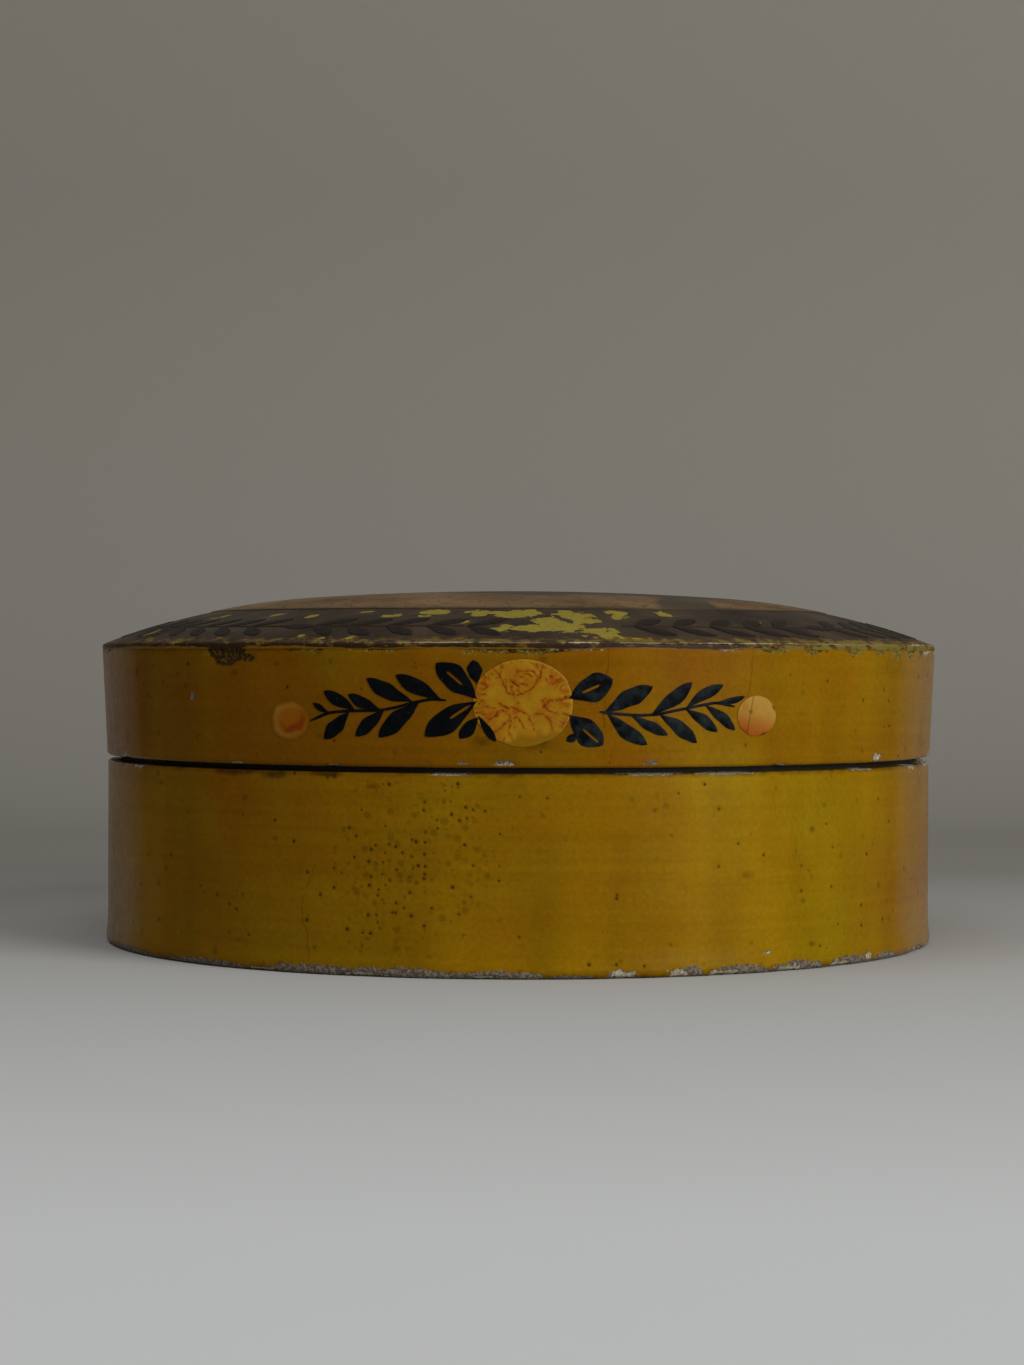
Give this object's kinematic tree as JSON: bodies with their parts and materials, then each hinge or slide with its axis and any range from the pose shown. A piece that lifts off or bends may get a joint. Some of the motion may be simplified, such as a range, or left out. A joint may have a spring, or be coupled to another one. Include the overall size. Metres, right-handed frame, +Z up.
{
  "type": "round lidded papier-mache box",
  "caption": "Round papier-mache box with a domed lift-off lid over an inner collar, ochre varnished walls and pasted cut-paper garland, rosette, fruit and leaf wreath.",
  "frame": {"origin": "middle of the underside, on the surface the box stands on", "axes": "+Z up along the axis of the box, the garland on the lid faces -Y, +X is to the right seen from the front"},
  "size_m": [0.11, 0.1101, 0.0458],
  "materials": {
    "ochre_lacquer": "ochre paint on pasted paper under worn satin varnish",
    "brown_lacquer": "dark brown paint on pressed paper board, flaked, under satin varnish",
    "pasted_board": "matt pasted grey-brown paper board",
    "lining_paper": "matt aged cream paper",
    "underside_paper": "matt dark brown paper, rubbed",
    "leaf_paper": "blue-black green cut paper under varnish",
    "flower_paper": "pale orange printed cut paper under yellowed varnish",
    "fruit_paper": "orange-red and straw coloured cut paper under yellowed varnish",
    "panel_paper": "tan aged paper under crazed varnish"
  },
  "bodies": {
    "base": {"base_wall": "ochre_lacquer", "base_floor": "pasted_board", "underside_paper": "underside_paper", "neck_collar": "pasted_board", "collar_lining": "lining_paper", "floor_lining": "lining_paper"},
    "lid": {"lid_wall": "ochre_lacquer", "lid_crown": "brown_lacquer", "lid_wall_lining": "lining_paper", "lid_crown_lining": "lining_paper", "rosette_cutout": "flower_paper", "left_leaf_cutouts": "leaf_paper", "right_leaf_cutouts": "leaf_paper", "left_fruit_cutout": "fruit_paper", "right_fruit_cutout": "fruit_paper", "crown_leaf_cutouts": "leaf_paper", "crown_panel": "panel_paper"}
  },
  "joints": [
    {"name": "lid_lift", "type": "slide", "parent": "base", "child": "lid", "axis": [0, 0, 1], "range_m": [0, 0.04]}
  ]
}
